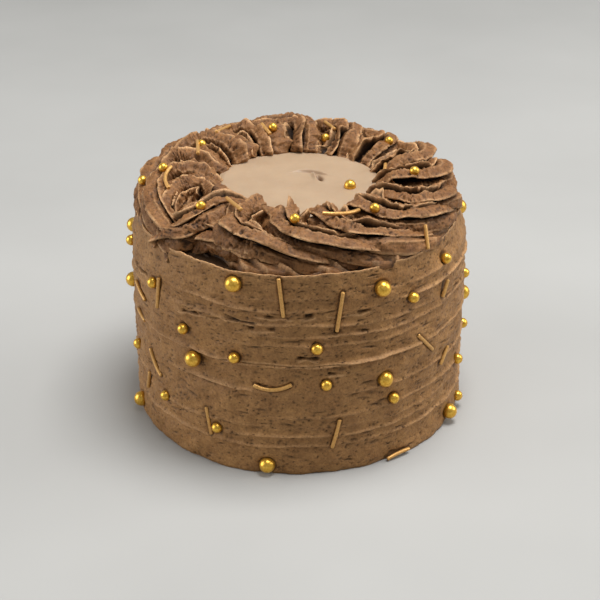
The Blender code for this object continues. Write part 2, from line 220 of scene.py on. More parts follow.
def addStudio():
    addCamera()
    for name, (place, size, power) in studio["lights"].items():
        addAreaLight(name, place, size, power)
    world = bpy.data.worlds.new("softRoom")
    world.use_nodes = True
    background = world.node_tree.nodes["Background"]
    background.inputs["Color"].default_value = hexToLinear(studio["worldColour"])
    background.inputs["Strength"].default_value = studio["worldStrength"]
    bpy.context.scene.world = world
    bpy.context.scene.view_settings.view_transform = "Standard"
    half = studio["floorSize"] / 2
    mesh = bpy.data.meshes.new("floor")
    corners = [(-half, -half, 0), (half, -half, 0), (half, half, 0), (-half, half, 0)]
    mesh.from_pydata(corners, [], [(0, 1, 2, 3)])
    mesh.materials.append(floorPaper())
    floor = addObject("floor", mesh)
    print("studio ready")


# Materials

def newMaterial(name):
    # a material with its nodes, its shader and the place on the object
    material = bpy.data.materials.new(name)
    material.use_nodes = True
    tree = material.node_tree
    place = addNode(tree, "ShaderNodeTexCoord", {}, {}).outputs["Object"]
    return material, tree, tree.nodes["Principled BSDF"], place


def mottled(tree, place, settings, dark, light):
    # a noise, and the blend of two colours that follows it
    noise = addNode(tree, "ShaderNodeTexNoise", settings, {"Vector": place}).outputs["Fac"]
    ramp = addNode(tree, "ShaderNodeValToRGB", {}, {"Fac": noise})
    setRamp(ramp, [(0.3, hexToLinear(dark)), (0.7, hexToLinear(light))])
    return noise, ramp.outputs["Color"]


def finishSurface(tree, shader, grain, roughness, height, strength, depth):
    # gloss that follows the grain between two roughnesses, and a fine bump from the height
    shine = addNode(tree, "ShaderNodeMapRange",
                    {"To Min": roughness[0], "To Max": roughness[1]}, {"Value": grain})
    tree.links.new(shine.outputs["Result"], shader.inputs["Roughness"])
    bump = addNode(tree, "ShaderNodeBump", {"Strength": strength, "Distance": depth},
                   {"Height": height})
    tree.links.new(bump.outputs["Normal"], shader.inputs["Normal"])


def floorPaper():
    # matt white paper: even, faintly mottled, no gloss
    material, tree, shader, place = newMaterial("floorPaper")
    shader.inputs["Roughness"].default_value = 0.9
    shader.inputs["Specular IOR Level"].default_value = 0.2
    colour = mottled(tree, place, {"Scale": 6.0, "Detail": 3.0},
                     studio["floorDark"], studio["floorLight"])[1]
    tree.links.new(colour, shader.inputs["Base Color"])
    return material


icing = {
    # colours of the pale lips (partly dried icing, partly a painted highlight) and of the
    # painted shade in creases and tears
    "lip": "#d3a677", "creaseShade": "#1c0d05", "tearShade": "#3d220e",
    "mottleSize": 9 * mm, "roughness": (0.44, 0.64), "bumpDepth": 0.45 * mm,
    # size, detail and roughness of the finer noises
    "tears": (1.6 * mm, 2.0, 0.5), "grain": (0.8 * mm, 3.0, 0.65),
    "specks": (1.1 * mm, 4.0, 0.7),
}


def chocolateButtercream(name, dark, light, tearFlatness, tearAmount, speck):
    # whipped chocolate buttercream, spread and piped: soft satin, with sugar grain,
    # burst air bubbles and short drag tears; pale along lips, partly dried icing and partly a
    # painted highlight, with painted shade in creases and tears
    material, tree, shader, place = newMaterial(name)
    shader.inputs["Specular IOR Level"].default_value = 0.25
    shader.inputs["Subsurface Weight"].default_value = 0.06
    shader.inputs["Subsurface Radius"].default_value = (0.9, 0.45, 0.25)
    shader.inputs["Subsurface Scale"].default_value = 1.5 * mm
    colour = mottled(tree, place,
                     {"Scale": 1 / icing["mottleSize"], "Detail": 5.0, "Roughness": 0.65},
                     dark, light)[1]
    flat = addNode(tree, "ShaderNodeMapping", {"Scale": (1, 1, tearFlatness)},
                   {"Vector": place}).outputs["Vector"]
    noises = []
    for pattern, vector in (("tears", flat), ("grain", place), ("specks", place)):
        size, detail, roughness = icing[pattern]
        noise = addNode(tree, "ShaderNodeTexNoise",
                        {"Scale": 1 / size, "Detail": detail, "Roughness": roughness},
                        {"Vector": vector})
        noises.append(noise.outputs["Fac"])
    tears, grain, specks = noises
    tearMask = addNode(tree, "ShaderNodeMapRange",
                       {"From Min": tearAmount, "From Max": tearAmount - 0.06,
                        "interpolation_type": "SMOOTHSTEP"},
                       {"Value": tears}).outputs["Result"]
    lip = addNode(tree, "ShaderNodeAttribute", {"attribute_name": "lip"}, {})
    creaseShade = addNode(tree, "ShaderNodeAttribute", {"attribute_name": "creaseShade"}, {})
    # pale lips (partly dried icing, partly a painted highlight), then painted shade in creases
    # and tears
    for tone, share in (("lip", lip.outputs["Fac"]), ("creaseShade", creaseShade.outputs["Fac"]),
                        ("tearShade", tearMask)):
        mix = addNode(tree, "ShaderNodeMixRGB", {"Color2": hexToLinear(icing[tone])},
                      {"Fac": share, "Color1": colour})
        colour = mix.outputs["Color"]
    speckTone = addNode(tree, "ShaderNodeValToRGB", {}, {"Fac": specks})
    setRamp(speckTone, [(0.34, (speck, speck - 0.03, speck - 0.06, 1)),
                        (0.45, (0.95, 0.94, 0.93, 1)), (0.70, (1.28, 1.27, 1.26, 1))])
    speckled = addNode(tree, "ShaderNodeMixRGB", {"blend_type": "MULTIPLY", 0: 1.0},
                       {"Color1": colour, "Color2": speckTone.outputs["Color"]})
    tree.links.new(speckled.outputs["Color"], shader.inputs["Base Color"])
    height = addNode(tree, "ShaderNodeMath", {"operation": "SUBTRACT"},
                     {0: grain, 1: tearMask}).outputs["Value"]
    finishSurface(tree, shader, grain, icing["roughness"], height, 0.8, icing["bumpDepth"])
    return material


def paleButtercream():
    # smooth pale buttercream, levelled with a warm knife: fine, even, softly glossy
    material, tree, shader, place = newMaterial("paleButtercream")
    shader.inputs["Specular IOR Level"].default_value = 0.4
    shader.inputs["Subsurface Weight"].default_value = 0.15
    shader.inputs["Subsurface Radius"].default_value = (1.0, 0.6, 0.35)
    shader.inputs["Subsurface Scale"].default_value = 2.5 * mm
    colour = mottled(tree, place, {"Scale": 60.0, "Detail": 4.0}, "#9c8369", "#a68d72")[1]
    # painted shade: the scar's pit and groove are darkened in the colour
    creaseShade = addNode(tree, "ShaderNodeAttribute", {"attribute_name": "creaseShade"}, {})
    scarShaded = addNode(tree, "ShaderNodeMixRGB", {"Color2": hexToLinear("#6f4d33")},
                      {"Fac": creaseShade.outputs["Fac"], "Color1": colour})
    tree.links.new(scarShaded.outputs["Color"], shader.inputs["Base Color"])
    grain = addNode(tree, "ShaderNodeTexNoise", {"Scale": 1 / (1.2 * mm), "Detail": 3.0},
                    {"Vector": place}).outputs["Fac"]
    finishSurface(tree, shader, grain, (0.42, 0.55), grain, 0.35, 0.12 * mm)
    return material


def goldLustre(name, dark, light, metal, roughness):
    # edible gold lustre over pressed sugar: pearly, faintly powdery, a broad soft highlight
    material, tree, shader, place = newMaterial(name)
    shader.inputs["Metallic"].default_value = metal
    powder, colour = mottled(tree, place, {"Scale": 1 / (0.9 * mm), "Detail": 4.0}, dark, light)
    tree.links.new(colour, shader.inputs["Base Color"])
    finishSurface(tree, shader, powder, (roughness - 0.05, roughness + 0.1), powder, 0.2,
                  0.06 * mm)
    return material


# Where the sprinkles are: at most places just as in the solids

sprinkles = {
    "cakeRadius": 80 * mm, "largeRadius": 3.7 * mm, "smallRadius": 2.6 * mm,
    "borderRadius": 2.3 * mm, "pearlProud": 0.6 * mm, "pearlRows": 18, "pearlColumns": 28,
    "rodRadius": 0.9 * mm, "rodLength": 17.5 * mm, "rodProud": 0.4 * mm, "rodColumns": 14,
    # degrees round from the front, height in millimetres
    "largeOnSide": [
        (-20.8, 95.8), (27.3, 91.6), (-36.6, 52.5), (29, 45.3), (-10.4, 4.8),
        (-88, 62), (-96, 86), (-74, 6), (97, 95), (92, 52), (65, 6)],
    "smallOnSide": [
        (-55.9, 81.4), (39.4, 82.6), (57.4, 92.6), (-40.5, 66.2), (-21, 59),
        (5.7, 66.2), (8.8, 47.5), (32.6, 33.8), (-50.9, 24.9), (-27.8, 20),
        (-88, 83), (-74, 37), (90, 64), (85, 40), (72, 30), (76, 6)],
    # degrees and height of each end, then how far the middle sags
    "rodsOnSide": [
        (-6.2, 100.5, -4.8, 82.4, 0), (13.8, 93, 12, 74.5, 0),
        (-52, 85.7, -53.8, 70, 0), (-60.2, 44, -53.4, 34, 1.2),
        (-62, 30, -64, 20.5, 0), (-14.4, 46.4, -2.5, 47.9, 2.2),
        (-31.8, 29, -30.2, 15.7, 0), (13.3, 28.3, 10.9, 14.3, 0.8),
        (42.2, 61.9, 50, 50.3, 0), (57.9, 81.4, 54.9, 74.7, 0),
        (60.2, 45.4, 55.7, 38.7, 0), (-72, 72, -63, 68, 0),
        (-71, 58, -64, 56.5, 0), (31, 1.3, 40, 2.2, -0.6)],
    "backStart": 103.0, "backEnd": 257.0, "backLow": 6 * mm, "backHigh": 94 * mm,
    "backSpacing": 17.5 * mm, "backLarge": 10, "backSmall": 14, "backRods": 14,
    "backSeed": 12, "rodHighest": 100 * mm,
    # x and y in millimetres of a pearl, and of both ends of a rod, then how far the
    # middle of the rod bends to the left, then how much more it rises to its second end
    "pearlsOnBorder": [
        (-63.5, -4), (-47.6, 29.1), (-12.9, 45), (13.2, 46.3), (44.3, 35.8),
        (53.7, -10), (33.6, -48.5), (-1.7, -63), (-43.8, -41.5), (-73.8, -0.9)],
    "rodsOnBorder": [
        (-49.6, 30.7, -48.3, 14.2, 0), (-59.7, -4.7, -59.8, -20, -2.2, -2.4),
        (-35, 54.5, -40.7, 37.9, 0), (-18.5, 47.8, -14.3, 38.8, 0),
        (13.2, 60.8, 17.8, 51, 0, -2.5), (-32.2, -39, -25.3, -55.5, 0),
        (10.5, -57.7, 26.5, -48.9, -2.4), (41.5, 12.3, 41, 7.3, 0),
        (56.2, -48.6, 57.4, -53.8, 0)],
    "pearlOnDisc": (24, -7), "discPearlRise": 0.8 * mm, "discPearlRadius": 2.9 * mm,
    "pearlSunk": 0.3, "rodSunk": 0.6, "rodSlope": 9 * mm,
}


def scatterBehind():
    # the unseen side: pearls and rods drawn one by one, kept a little apart
    draw = random.Random(sprinkles["backSeed"])
    spread = sprinkles["cakeRadius"] * math.radians(1.0)
    taken, chosen = [], {}
    for kind in ("backLarge", "backSmall", "backRods"):
        chosen[kind] = []
        while len(chosen[kind]) < sprinkles[kind]:
            place = (draw.uniform(sprinkles["backStart"], sprinkles["backEnd"]),
                     draw.uniform(sprinkles["backLow"], sprinkles["backHigh"]))
            gaps = [math.hypot((place[0] - d) * spread, place[1] - h) for d, h in taken]
            if min(gaps, default=1.0) < sprinkles["backSpacing"]:
                continue
            taken.append(place)
            chosen[kind].append(place)
    rods = []
    for degrees, height in chosen["backRods"]:
        lean = draw.uniform(-1.0, 1.0)
        length = sprinkles["rodLength"] * draw.uniform(0.65, 1.0)
        turn = math.degrees(length / 2 * math.sin(lean) / sprinkles["cakeRadius"])
        drop = min(length / 2 * math.cos(lean), height - sprinkles["rodRadius"])
        sag = 1.2 * mm if abs(lean) > 0.7 else 0.0
        rods.append((degrees - turn, min(height + drop, sprinkles["rodHighest"]),
                     degrees + turn, height - drop, sag))
    return chosen["backLarge"], chosen["backSmall"], rods


def sidePlaces():
    large, small, rods = scatterBehind()
    large = [(d, h * mm) for d, h in sprinkles["largeOnSide"]] + large
    small = [(d, h * mm) for d, h in sprinkles["smallOnSide"]] + small
    seen = [(a, b * mm, c, d * mm, e * mm) for a, b, c, d, e in sprinkles["rodsOnSide"]]
    return large, small, seen + rods


# Banded side of the cake

side = {
    "radius": 80 * mm, "height": 102 * mm, "columns": 760, "rows": 118,
    # band edges: height in millimetres, strength, and how far the line wanders
    "edges": [
        (14.5, 0.8, 1), (19.5, 0.7, 1), (25, 0.5, 1), (31, 1, 1.2),
        (43, 1.1, 1.3), (57, 1.1, 1.1), (66, 0.4, 1.4), (71, 0.6, 1.2),
        (76.5, 0.8, 1.4), (84.5, 0.9, 1.2), (90, 0.3, 1.4)],
    "edgeProud": 1.0 * mm, "ledge": 1.0 * mm, "bandDip": 0.45 * mm,
    "wave": 0.85 * mm, "lump": 0.56 * mm, "grain": 0.09 * mm,
    "seamHeight": 57 * mm, "seamTuck": 0.6 * mm, "seamWander": 0.9 * mm, "overlap": 2.5 * mm,
    "footTuck": 0.6 * mm, "contactDepth": 0.45 * mm, "contactShade": 0.65,
    "leanFrom": 86 * mm, "leanRight": 4.4 * mm, "leanLeft": 3.2 * mm,
    # torn crevices: height in millimetres, middle and half width in degrees from the front
    "crevices": [
        (81.8, -8, 7), (82.6, 3, 3), (83, 16, 8), (76, -36, 9), (77.2, -20, 7),
        (74, -12, 5), (73, 10, 4), (72.6, 20, 3), (52.4, 12, 3), (60.5, 3, 4),
        (74, 63, 9), (81, 78, 12), (62, 84, 8), (73.5, 112, 16), (44, 132, 10),
        (82, 150, 15), (58, 168, 12), (76, 186, 14), (31, 205, 9), (83, 222, 16),
        (66, 240, 12), (74, 262, 15), (45, 276, 8), (82, 290, 10)],
    "creviceDepth": 1.9 * mm, "creviceWidth": 0.55 * mm,
    "pits": 1500, "pitDepth": 0.8 * mm, "tears": 150, "tearDepth": 0.9 * mm,
    "lipHeight": 0.55 * mm, "rimPale": 0.55, "topLevel": 100.8 * mm, "seed": 40,
    # millimetres inwards and up of the seam's underside, then inwards and down of the rim
    "underside": [(8.0, 1.5), (0.9, 0.3), (0.25, 0.02)],
    "rim": [(0.5, 0.05), (1.0, 0.4), (1.5, 1.5), (3.0, 2.4), (6.0, 2.2)],
}


def bandRelief(turn, height):
    # bands pulled by a comb: at each edge a thin proud ridge, a small ledge under it,
    # and a shallow hollow below, all wandering and fading along the way
    relief, pale, flat = np.zeros((3, *height.shape))
    for i, (edge, strength, wander) in enumerate(side["edges"]):
        seed = side["seed"] + 10 * i
        line = edge + wander * roughNoise(turn, flat, (9, 1), seed, 4)
        force = 0.5 + 0.6 * roughNoise(turn, flat, (14, 1), seed + 5, 2)
        force = strength * np.clip(force, 0, 1)
        away = height / mm - line
        ridge = bell(away, 0, 0.7)
        ledge = easeStep(-0.4, -1.0, away) * np.exp(np.minimum(away + 1.0, 0) / 3.2)
        relief += force * (side["edgeProud"] * ridge - side["ledge"] * ledge)
        relief -= side["bandDip"] * force * bell(away, 3.0, 2.0)
        # painted highlight along each ridge, partly the paler dried icing
        pale = np.maximum(pale, 0.42 * force * bell(away, 0.1, 0.9))
    return relief, pale


def creviceRelief(turn, height):
    # where the comb tore the icing: a jagged slit that comes and goes, painted dark as shade,
    # proud above it
    relief, dark, pale, flat = np.zeros((4, *height.shape))
    for i, (edge, middle, half) in enumerate(side["crevices"]):
        seed = side["seed"] + 200 + 10 * i
        away = ((turn * 360 - middle + 180) % 360 - 180) / half
        window = easeStep(1.0, 0.7, np.abs(away))
        broken = easeStep(-0.25, 0.2, softNoise(turn, flat, (110, 1), seed))
        line = edge * mm + 1.0 * mm * roughNoise(turn, flat, (40, 1), seed + 3, 3)
        width = side["creviceWidth"] * (1.1 + 0.7 * softNoise(turn, flat, (130, 1), seed + 6))
        gap = (height - line) / width
        slit = window * broken * np.exp(-gap ** 4)
        relief -= side["creviceDepth"] * slit
        relief += 0.5 * mm * window * bell(gap, 1.9, 0.9)
        relief += 0.25 * mm * window * bell(gap, -1.9, 0.9)
        # painted shade in the slit, and a painted highlight along the edge below it
        dark = np.maximum(dark, 0.95 * slit)
        pale = np.maximum(pale, 0.5 * window * bell(gap, -2.0, 0.8))
    return relief, dark, pale


def stampPits(relief, dark, count, halfWidths, halfHeights, depth, seed):
    # soft oval dimples pressed in at random cells, each with its own size and tilt, with painted
    # shade in each
    draw = np.random.default_rng(seed)
    rows, columns = relief.shape
    row = draw.integers(3, rows - 3, count)[:, None, None]
    column = draw.integers(0, columns, count)[:, None, None]
    halfWidth, halfHeight, share, tilt = (
        draw.uniform(low, high, count)[:, None, None]
        for low, high in (halfWidths, halfHeights, (0.3, 1.0), (-0.3, 0.3)))
    sink = depth * share
    reach = int(math.ceil(2 * halfWidths[1]))
    rowStep, columnStep = np.meshgrid(np.arange(-3, 4), np.arange(-reach, reach + 1),
                                      indexing="ij")
    rowsHit = np.clip(row + rowStep, 0, rows - 1)
    columnsHit = (column + columnStep) % columns
    stamp = np.exp(-(columnStep / halfWidth) ** 2
                   - ((rowStep - tilt * columnStep) / halfHeight) ** 2)
    np.minimum.at(relief, (rowsHit, columnsHit), relief[rowsHit, columnsHit] - sink * stamp)
    np.maximum.at(dark, (rowsHit, columnsHit), stamp * (0.35 + 0.55 * sink / depth))


def contactDimples(turn, height):
    # the icing is pushed in just round each pearl and along each rod, and painted with shade
    # there
    large, small, rods = sidePlaces()
    dimple = np.zeros_like(height)
    for places, radius in ((large, sprinkles["largeRadius"]), (small, sprinkles["smallRadius"])):
        for degrees, pearlHeight in places:
            around = arcFrom(turn, degrees)
            away = np.hypot(around, height - pearlHeight) - radius
            dimple = np.maximum(dimple, easeStep(1.0 * mm, 0.1 * mm, away))
    for start, startHeight, end, endHeight, sag in rods:
        around = arcFrom(turn, start)
        acrossRod = math.radians(end - start) * side["radius"]
        upRod = endHeight - startHeight
        along = (around * acrossRod + (height - startHeight) * upRod)
        along = np.clip(along / (acrossRod ** 2 + upRod ** 2), 0, 1)
        sagged = startHeight + upRod * along - 4 * sag * along * (1 - along)
        away = np.hypot(around - acrossRod * along, height - sagged) - sprinkles["rodRadius"]
        dimple = np.maximum(dimple, 0.8 * easeStep(0.8 * mm, 0.1 * mm, away))
    return dimple


def arcFrom(turn, degrees):
    # the way round the wall from a place, in metres, shortest side
    return ((turn - degrees / 360 + 0.5) % 1.0 - 0.5) * 2 * math.pi * side["radius"]


def wallRelief(low, high, seed):
    # part of the turned wall between two heights, as a grid of angles and heights: its
    # relief is the bands and crevices plus waves and lumps, less pits and dimples; pale
    # says where the icing is paler, partly dried and partly a painted highlight, and dark where
    # it has painted shade
    turn, rows = np.meshgrid(np.arange(side["columns"]) / side["columns"],
                             np.linspace(0, 1, side["rows"]))
    wander = roughNoise(turn, np.zeros_like(turn), (9, 1), side["seed"] + 70, 4)
    height = low + (high - low) * rows
    nearSeam = easeStep(8 * mm, 0.0, np.abs(height - side["seamHeight"]))
    height = height + side["seamWander"] * wander * nearSeam
    up = height / side["height"]
    relief, pale = bandRelief(turn, height)
    torn, dark, tornPale = creviceRelief(turn, height)
    relief += torn
    relief += side["wave"] * roughNoise(turn, up, (11, 4), side["seed"] + 3, 2)
    relief += side["lump"] * roughNoise(turn, up, (60, 14), side["seed"] + 6, 3)
    relief += side["grain"] * roughNoise(turn, up, (320, 90), side["seed"] + 9, 2)
    stampPits(relief, dark, side["pits"], (0.5, 1.3), (0.5, 1.2), side["pitDepth"], seed)
    stampPits(relief, dark, side["tears"], (1.5, 5.5), (0.6, 1.1), side["tearDepth"], seed + 1)
    dimple = contactDimples(turn, height)
    relief -= side["contactDepth"] * dimple
    # painted contact shadow round the sprinkles
    dark = np.maximum(dark, side["contactShade"] * dimple)
    pale = np.maximum(pale, tornPale)
    angle = turn * 2 * math.pi - math.pi / 2
    return turn, up, angle, height, relief, pale, dark


def leanIn(turn, height):
    # how far the wall's top draws in: most at the right and left, not at all in front
    beside = np.sin(2 * math.pi * turn)
    most = np.where(beside > 0, side["leanRight"], side["leanLeft"]) * beside ** 2
    return most * easeStep(side["leanFrom"], side["height"], height)


def ringsAt(angle, radius, height):
    return np.stack([radius * np.cos(angle), radius * np.sin(angle), height], -1)


def sideValues(pale, dark, before, after):
    # lip values (partly dried icing, partly a painted highlight) and painted shade values of a
    # wall, with rows of none for the rings before and after it
    pad = [(before, after), (0, 0)]
    return {"lip": np.pad(pale * (1 - dark), pad), "creaseShade": np.pad(dark, pad)}


def buildSide(material):
    # two stacked parts: the upper one's proud lower edge hangs over the tucked-in top of
    # the lower one, and it ends in a thin torn rim, then runs in flat under the border
    turn, up, angle, height, relief, pale, dark = wallRelief(
        0.0, side["seamHeight"] + side["overlap"], side["seed"] + 800)
    relief -= side["footTuck"] * easeStep(0.015, 0.0, up)  # where the icing ends
    seamLine = height[-1] - side["overlap"]
    relief -= side["seamTuck"] * easeStep(-0.5 * mm, 0.6 * mm, height - seamLine[None])
    radius = side["radius"] + relief
    wall = ringsAt(angle, radius, height)
    foot = ringsAt(angle[:1], radius[:1] * 0.97, 0 * height[:1])
    top = ringsAt(angle[-1:], radius[-1:] * 0.9, height[-1:])
    poles = [(0, 0, 0), (0, 0, side["seamHeight"])]
    lower = buildPiece("lowerBands", np.concatenate([foot, wall, top]), poles, material,
                       sideValues(pale, dark, 1, 1))
    dress(lower, "cake_body")

    turn, up, angle, height, relief, pale, dark = wallRelief(
        side["seamHeight"], side["height"], side["seed"] + 900)
    above = (height - height[:1]) / mm
    relief += 0.35 * mm * bell(above, 0, 0.8)
    # painted highlight along the proud lower edge
    pale = np.maximum(pale, 0.4 * bell(above, 0, 0.6))
    radius = side["radius"] + relief - leanIn(turn, height)
    torn = roughNoise(turn, up, (46, 1), side["seed"] + 12, 4, 0.75)
    torn = side["lipHeight"] * (0.3 + 0.7 * torn)
    height = height + np.clip(torn, -0.3 * mm, None) * easeStep(0.97, 1.0, up)
    wall = ringsAt(angle, radius, height)
    under = [ringsAt(angle[:1], radius[:1] - inset * mm, height[:1] + lift * mm)
             for inset, lift in side["underside"]]
    inward = [ringsAt(angle[-1:], radius[-1:] - inset * mm, height[-1:] - drop * mm)
              for inset, drop in side["rim"]]
    level = ringsAt(angle[-1:], radius[-1:] - 20 * mm, 0 * angle[-1:] + side["topLevel"])
    rings = np.concatenate(under + [wall] + inward + [level])
    # painted highlight along the torn rim
    pale = np.maximum(pale, easeStep(0.985, 1.0, up) * side["rimPale"])
    values = sideValues(pale, dark, len(under), len(inward) + 1)
    # painted highlight on the rim's thin edge, painted shade in the hollow behind it
    values["lip"][-6:-4] = 0.5  # the rim's thin edge
    values["creaseShade"][-4:] = 0.9  # in shade behind it
    poles = [(0, 0, side["seamHeight"] + 3 * mm), (0, 0, side["topLevel"])]
    upper = buildPiece("upperBands", rings, poles, material, values)
    dress(upper, "cake_body")
    print("side built")


# Piped border

border = {
    "strokes": 15, "step": math.radians(23.2), "first": math.radians(-144.0),
    "inner": 41.6 * mm, "outer": 70.2 * mm, "narrower": 0.8 * mm, "roundness": 0.95,
    "sweep": math.radians(43.0), "bend": 2.0, "startJitter": 1.3 * mm, "jitter": 0.03,
    "tuckFrom": 0.74, "tuckIn": 0.5 * mm, "tuckDown": 2.5 * mm,
    "strand": 9.5 * mm, "tip": 0.8, "height": 111.6 * mm, "outerDrop": 10.0 * mm,
    "startDrop": 7.5 * mm, "frontDrop": 3.2 * mm, "startShare": 0.26, "seed": 5,
    # how much higher or lower each stroke lies, in millimetres, from the front left round
    "lift": [0, 0.8, 1.2, 1, 0.6, 0.4, 0, 0.2, 0, 1, 2.8, 1.4, 0.8, 0.4, 0.6],
    "lips": 7, "perLip": 24, "along": 180, "usualLength": 62 * mm,
    # parts of the strand's radius
    "creaseDepth": 0.52, "overhang": 0.28, "ragged": 0.042, "notch": 0.16, "lump": 0.085,
    "streak": 0.02, "grain": 0.055, "pitDepth": 0.11, "fineRidge": 0.085, "lipVary": 0.17,
    "peak": 0.42, "peakSpread": 0.08, "peaksPerLip": 2,
    # where the torn peaks stand along a strand, and how long each is
    "peakFrom": 0.02, "peakTo": 0.26, "peakLength": 0.038,
    "coreInner": 40.8 * mm, "coreOuter": 78.9 * mm, "coreInnerEdge": 107.0 * mm,
    "coreOuterEdge": 103.5 * mm, "coreCrown": 5.0 * mm, "base": 99.5 * mm,
    "coreColumns": 720, "crownRows": 72, "baseRows": 12,
    "combRidges": 45, "combSlant": 7.0, "combHeight": 2.8,  # height in millimetres
    "trenchFrom": -140.0, "trenchTo": -108.0, "trench": 5.0 * mm,
    "hollows": [(-47, -27, 9, 8), (-37, -54, 15, 6), (24, -72, 7, 4), (2, -75, 5, 3),
                (53, -55, 5, 3)],  # x, y, radius and depth in millimetres
    # the swirl at the front left: its curl, the small curl inside it and the tail over it,
    # as points in millimetres, then the strand's size
    "curl": ([(-41, -18, 103), (-41.5, -11, 108), (-47, -7, 110.5), (-57, -12, 109.5),
              (-62, -25, 108.5), (-60, -38, 103)], 8.5),
    "innerCurl": ([(-41, -34, 102), (-40, -26, 105), (-46, -21, 106.5), (-52, -26, 105),
                   (-51, -35, 102)], 4.6),
    "tail": ([(-60, -37, 95.5), (-55.5, -42.5, 102), (-51, -46, 107), (-43, -41.5, 110.5),
              (-35, -35, 112), (-27, -30, 110), (-22, -28, 107)], 8.4),
    "firstTwist": 0.5, "tailTwist": 0.45,  # in lips
    "firstStroke": ([(-45, -40, 101), (-40, -48, 105.5), (-31, -56, 107), (-20, -62, 106),
                     (-8, -66, 103.5), (5, -66, 99)], 8.4),
}


def lipSection():
    # the star nozzle's outline as angle and radius: at each lip it steps out to a thin edge
    # that hangs over the crease behind it, then falls slowly to the next crease, with the
    # place of a finer ridge half way down
    depth, hang = border["creaseDepth"], border["overhang"]
    face = np.linspace(0, 1, border["perLip"] - 3)
    radius = 1 - depth * (0.55 * face + 0.45 * face ** 2.4)
    shift = face - hang * (1 - face) ** 3
    radius = np.concatenate([1 - depth * np.array([0.99, 0.7, 0.28]), radius])
    shift = np.concatenate([hang * np.array([-0.02, -0.30, -0.72]), shift])
    # lip marks each lip's thin edge and its pale colour (partly dried icing, partly a painted
    # highlight); the next line is painted shade under the overhang and down each face into the
    # crease
    lip = np.concatenate([[0, 0.15, 0.8], bell(face, 0, 0.055)])
    creaseShade = np.concatenate([[1.0, 0.95, 0.5], easeStep(0.40, 0.90, face)])
    fine = np.concatenate([[0, 0, 0], bell(face, 0.45, 0.06)])
    lips = np.arange(border["lips"])[:, None]
    angle = (lips + shift[None]) * 2 * math.pi / border["lips"]
    parts = (radius, lip, creaseShade, fine)
    repeated = [np.tile(part, (border["lips"], 1)).ravel() for part in parts]
    return angle.ravel(), *repeated


def sweptStrand(name, path, thickness, seed, material, twist=0.0):
    # the lip section carried along the path, its size following thickness, turned by twist
    # and roughened: lips are ragged along their length, some stand up in torn peaks where
    # the stroke begins, and faces carry a broken finer ridge, lumps, streaks and pits
    ahead = np.gradient(path, axis=0)
    ahead /= np.linalg.norm(ahead, axis=1, keepdims=True)
    sideways = np.cross(ahead, [0, 0, 1])
    sideways /= np.linalg.norm(sideways, axis=1, keepdims=True)
    upward = np.cross(sideways, ahead)
    angle, radius, lip, creaseShade, fine = lipSection()
    share = np.linalg.norm(np.diff(path, axis=0), axis=1).sum() / border["usualLength"]

    def along(cells):
        return max(2, round(cells * share))

    around = np.linspace(0, 1, len(angle), endpoint=False)
    around, t = np.meshgrid(around, np.linspace(0, 1, len(path)))
    cells = border["lips"]
    lipNumber = (np.floor(around * cells) + 0.5) / cells
    lipRow = (lipNumber - 0.5 / cells, t)
    height = 1 + border["lipVary"] * roughNoise(*lipRow, (cells, along(5)), seed + 1, 2)
    ragged = roughNoise(*lipRow, (cells * 4, along(13)), seed, 3, 0.6)
    notch = easeStep(0.5, 0.85, softNoise(*lipRow, (cells * 4, along(17)), seed + 20))
    size = radius[None] * height + border["ragged"] * lip[None] * ragged
    size -= border["notch"] * lip[None] * notch
    draw = np.random.default_rng(seed + 70)
    for i in range(cells * border["peaksPerLip"]):
        at = draw.uniform(border["peakFrom"], border["peakTo"])
        tall = border["peak"] * draw.uniform(0.15, 1.0)
        onLip = np.abs(lipNumber * cells - 0.5 - i % cells) < 0.25
        peak = np.exp(-np.abs((t - at) / border["peakLength"]) ** 1.3)
        size += tall * onLip * peak * lip[None] ** border["peakSpread"]
    broken = roughNoise(*lipRow, (cells * 3, along(6)), seed + 95, 2)
    fine = fine[None] * easeStep(-0.5, 0.4, broken)
    size += border["fineRidge"] * fine
    size += border["lump"] * roughNoise(around, t, (6, along(7)), seed + 30, 3)
    size += border["streak"] * softNoise(around, t, (60, along(14)), seed + 40)
    grain = roughNoise(around, t, (36, along(40)), seed + 50, 3, 0.75)
    size += border["grain"] * grain * (1 - 0.85 * lip[None])
    pits = easeStep(0.45, 0.8, roughNoise(around, t, (64, along(76)), seed + 80, 2, 0.6))
    patches = easeStep(-0.5, 0.3, roughNoise(around, t, (8, 9), seed + 90, 2))
    pits = pits * (1 - lip[None]) * patches
    size -= border["pitDepth"] * pits
    angle = angle[None] + 0.07 * roughNoise(*lipRow, (cells, along(8)), seed + 60, 2)
    angle += twist * 2 * math.pi / cells
    reach = size * thickness[:, None]
    outward = np.cos(angle)[..., None] * sideways[:, None]
    outward = outward + np.sin(angle)[..., None] * upward[:, None]
    rings = path[:, None] + reach[..., None] * outward
    # painted highlight on each lip's edge and the finer ridge, partly the paler dried icing;
    # painted shade in the creases and pits
    lipGlow = np.clip(lip[None] * (0.72 + 0.35 * ragged) + 0.3 * fine, 0, 1)
    values = {"lip": lipGlow, "creaseShade": np.maximum(creaseShade[None] * np.ones_like(t), 0.75 * pits)}
    piece = buildPiece(name, rings, [path[0], path[-1]], material, values)
    return dress(piece, "piped_border")


def taper(t, full, tail):
    # thickness along a strand: full at its buried start, drawn out thin at its end
    body = 1 + 0.06 * easeStep(0.3, 0.0, t) - (1 - tail) * easeStep(0.62, 1.0, t)
    ends = np.sqrt(np.clip(np.minimum(t / 0.02, (1 - t) / 0.04), 0, 1))
    return full * body * np.clip(ends, 0.02, 1)


